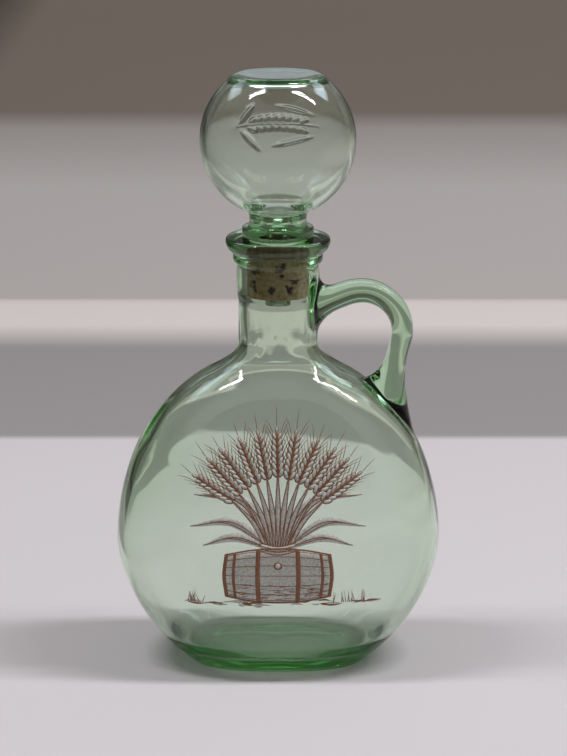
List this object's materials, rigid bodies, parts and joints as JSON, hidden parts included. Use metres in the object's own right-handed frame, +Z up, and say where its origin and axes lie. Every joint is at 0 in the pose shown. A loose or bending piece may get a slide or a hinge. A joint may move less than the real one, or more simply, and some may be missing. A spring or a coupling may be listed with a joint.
{
  "type": "whisky bottle",
  "caption": "Flattened round flask of pale green glass with a loop handle on its shoulder and a hollow ball stopper that seals with a sleeve of cork.",
  "frame": {"origin": "middle of the base, on the plane that the bottle stands on", "axes": "+Z up along the neck, broad faces towards -Y and +Y, handle on the +X side"},
  "size_m": [0.1438, 0.077, 0.2643],
  "materials": {
    "green_glass": "clear, pale green, smooth and slightly uneven as moulded glass is",
    "cork": "natural cork, matt, with dark pits",
    "grey_enamel": "fired enamel print, thin, satin",
    "brown_enamel": "fired enamel line print, thin, satin"
  },
  "bodies": {
    "bottle": {"bottle_glass": "green_glass", "handle": "green_glass"},
    "stopper": {"stopper_glass": "green_glass", "cork_sleeve": "cork"}
  },
  "joints": [
    {"name": "stopper_lift", "type": "slide", "parent": "bottle", "child": "stopper", "axis": [0, 0, 1], "range_m": [0, 0.06]}
  ]
}
